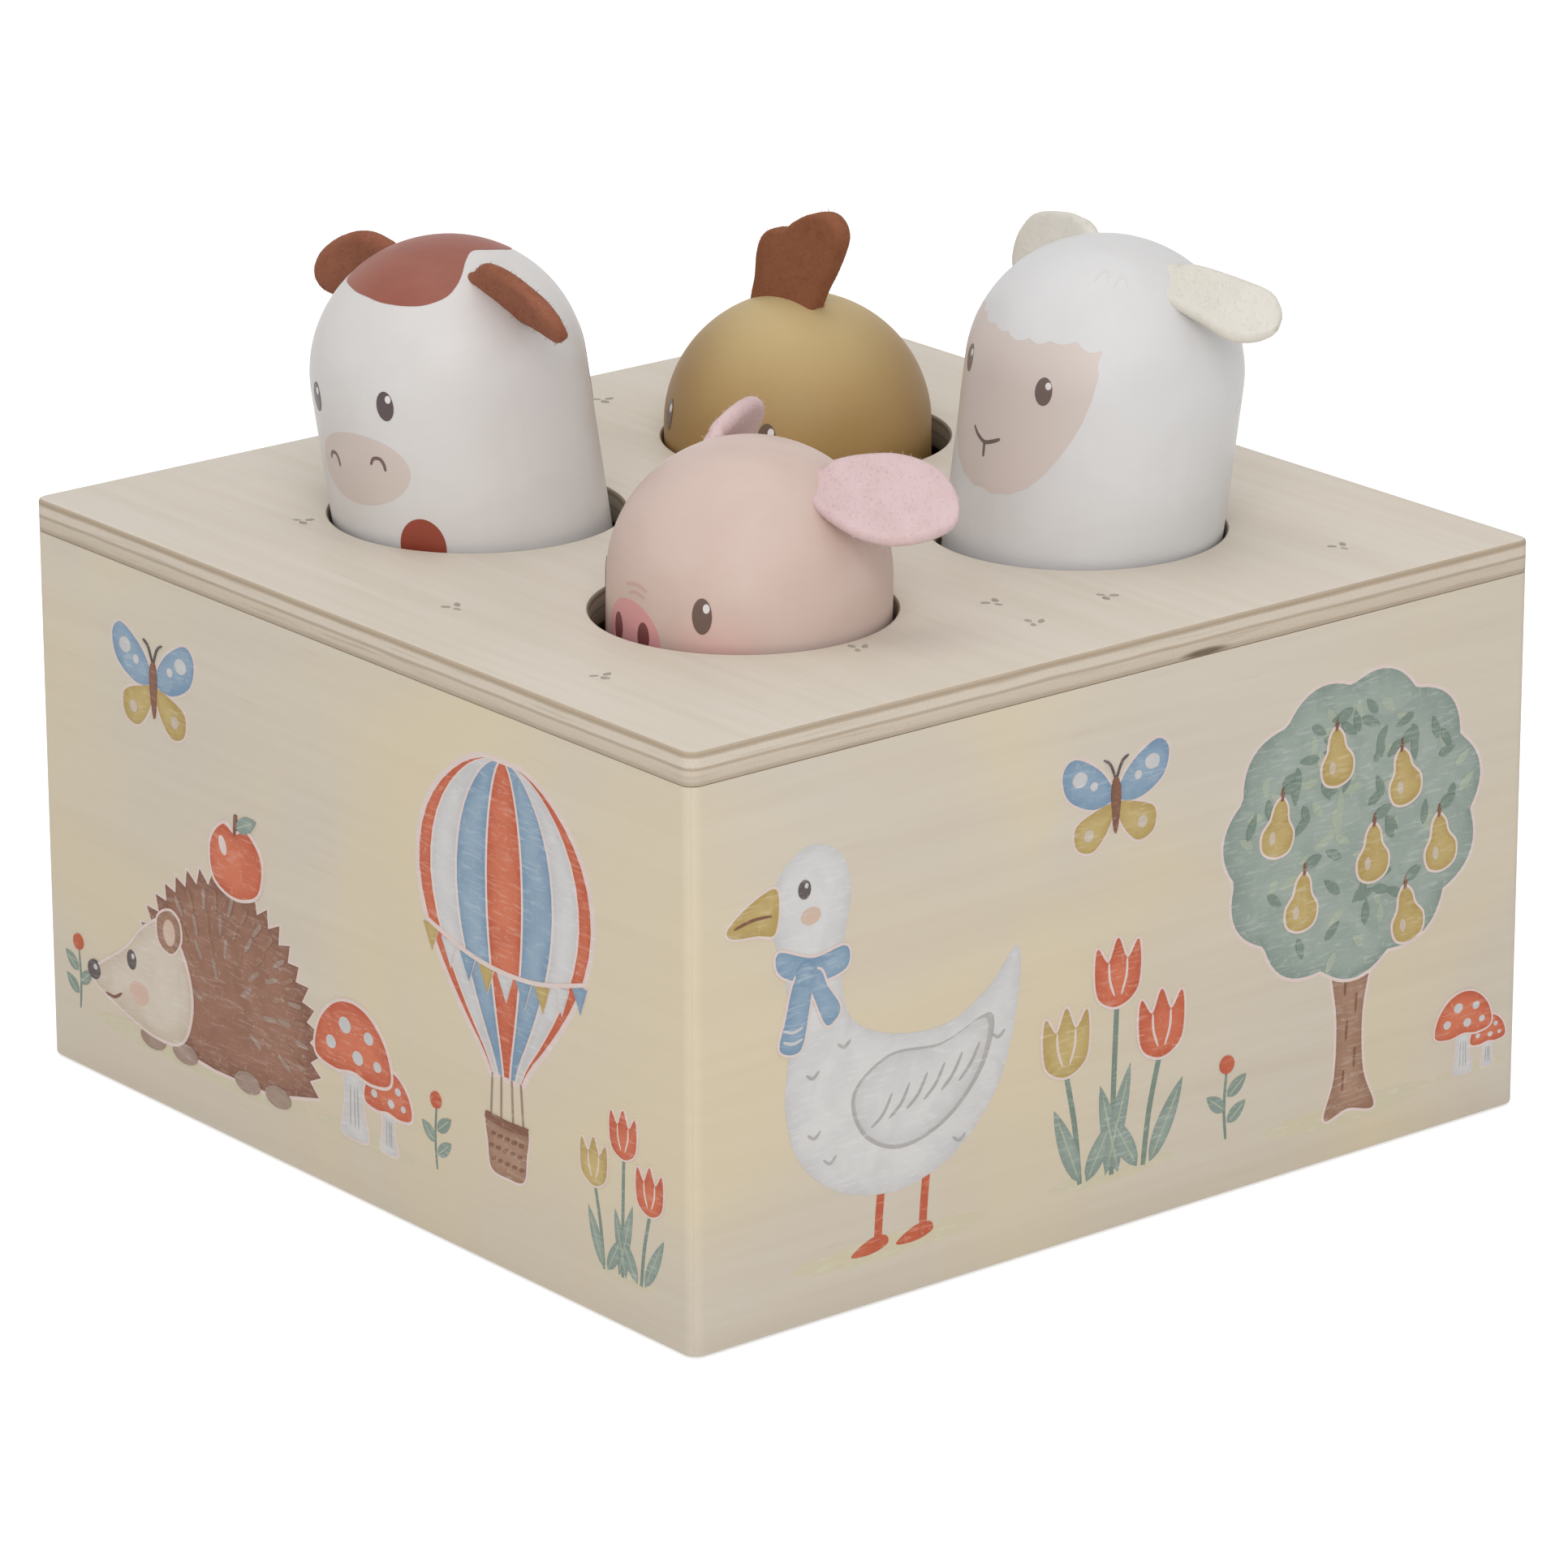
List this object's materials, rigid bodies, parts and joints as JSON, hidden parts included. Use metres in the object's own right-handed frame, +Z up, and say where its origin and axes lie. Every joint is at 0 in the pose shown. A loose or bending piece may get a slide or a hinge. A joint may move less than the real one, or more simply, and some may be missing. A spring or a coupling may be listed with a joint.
{
  "type": "pop-up animal toy",
  "caption": "Plywood box whose round lid holes hold turned wooden farm animals with felt ears or comb; each stands on a spring, pushes down, pops back up and turns.",
  "frame": {"origin": "bottom centre of the box, on the surface it stands on", "axes": "+Z up, the animals face -Y, +X is the animals' left"},
  "size_m": [0.15, 0.15, 0.127],
  "materials": {
    "plywood": "smooth sanded plywood, pale, with thin matt printing",
    "turned_wood": "bare turned wood",
    "steel": "drawn spring wire and zinc-plated screws",
    "cow_paint": "turned wood under matt water-based paint",
    "cow_felt": "pressed wool felt",
    "pig_paint": "turned wood under matt water-based paint",
    "pig_felt": "pressed wool felt",
    "sheep_paint": "turned wood under matt water-based paint",
    "sheep_felt": "pressed wool felt",
    "chicken_paint": "turned wood under matt water-based paint",
    "chicken_felt": "pressed wool felt"
  },
  "bodies": {
    "box": {"lid_plate": "plywood", "front_wall": "plywood", "back_wall": "plywood", "left_wall": "plywood", "right_wall": "plywood", "base_plate": "plywood", "cow_spring_spigot": "turned_wood", "cow_spring": "steel", "pig_spring_spigot": "turned_wood", "pig_spring": "steel", "sheep_spring_spigot": "turned_wood", "sheep_spring": "steel", "chicken_spring_spigot": "turned_wood", "chicken_spring": "steel"},
    "cow_slider": {"cow_spring_cap": "turned_wood"},
    "cow": {"cow_body": "cow_paint", "cow_left_ear": "cow_felt", "cow_right_ear": "cow_felt", "cow_stop_ring": "plywood", "cow_ring_screw_1": "steel", "cow_ring_screw_2": "steel", "cow_ring_screw_3": "steel"},
    "pig_slider": {"pig_spring_cap": "turned_wood"},
    "pig": {"pig_body": "pig_paint", "pig_left_ear": "pig_felt", "pig_right_ear": "pig_felt", "pig_stop_ring": "plywood", "pig_ring_screw_1": "steel", "pig_ring_screw_2": "steel", "pig_ring_screw_3": "steel"},
    "sheep_slider": {"sheep_spring_cap": "turned_wood"},
    "sheep": {"sheep_body": "sheep_paint", "sheep_left_ear": "sheep_felt", "sheep_right_ear": "sheep_felt", "sheep_stop_ring": "plywood", "sheep_ring_screw_1": "steel", "sheep_ring_screw_2": "steel", "sheep_ring_screw_3": "steel"},
    "chicken_slider": {"chicken_spring_cap": "turned_wood"},
    "chicken": {"chicken_body": "chicken_paint", "chicken_comb": "chicken_felt", "chicken_stop_ring": "plywood", "chicken_ring_screw_1": "steel", "chicken_ring_screw_2": "steel", "chicken_ring_screw_3": "steel"}
  },
  "joints": [
    {"name": "cow_press", "type": "slide", "parent": "box", "child": "cow_slider", "axis": [-0.0968, -0.0968, 0.9906], "range_m": [-0.021, 0.0028], "stiffness_N_per_m": 320, "springref_m": 0.0014, "deforming": ["cow_spring"]},
    {"name": "cow_turn", "type": "hinge", "parent": "cow_slider", "child": "cow", "pos_m": [-0.03043, -0.03043, 0.0815], "axis": [-0.0968, -0.0968, 0.9906], "continuous": true},
    {"name": "pig_press", "type": "slide", "parent": "box", "child": "pig_slider", "axis": [0.0104, 0.0104, 0.9999], "range_m": [-0.009, 0.0215], "stiffness_N_per_m": 320, "springref_m": 0.0014, "deforming": ["pig_spring"]},
    {"name": "pig_turn", "type": "hinge", "parent": "pig_slider", "child": "pig", "pos_m": [0.03058, -0.02942, 0.0815], "axis": [0.0104, 0.0104, 0.9999], "continuous": true},
    {"name": "sheep_press", "type": "slide", "parent": "box", "child": "sheep_slider", "axis": [0.0831, 0.0831, 0.9931], "range_m": [-0.025, 0.001], "stiffness_N_per_m": 320, "springref_m": 0.0014, "deforming": ["sheep_spring"]},
    {"name": "sheep_turn", "type": "hinge", "parent": "sheep_slider", "child": "sheep", "pos_m": [0.03052, 0.03052, 0.0815], "axis": [0.0831, 0.0831, 0.9931], "continuous": true},
    {"name": "chicken_press", "type": "slide", "parent": "box", "child": "chicken_slider", "axis": [0, 0, 1], "range_m": [-0.0195, 0.0245], "stiffness_N_per_m": 320, "springref_m": 0.0014, "deforming": ["chicken_spring"]},
    {"name": "chicken_turn", "type": "hinge", "parent": "chicken_slider", "child": "chicken", "pos_m": [-0.03085, 0.02915, 0.0815], "axis": [0, 0, 1], "continuous": true}
  ]
}
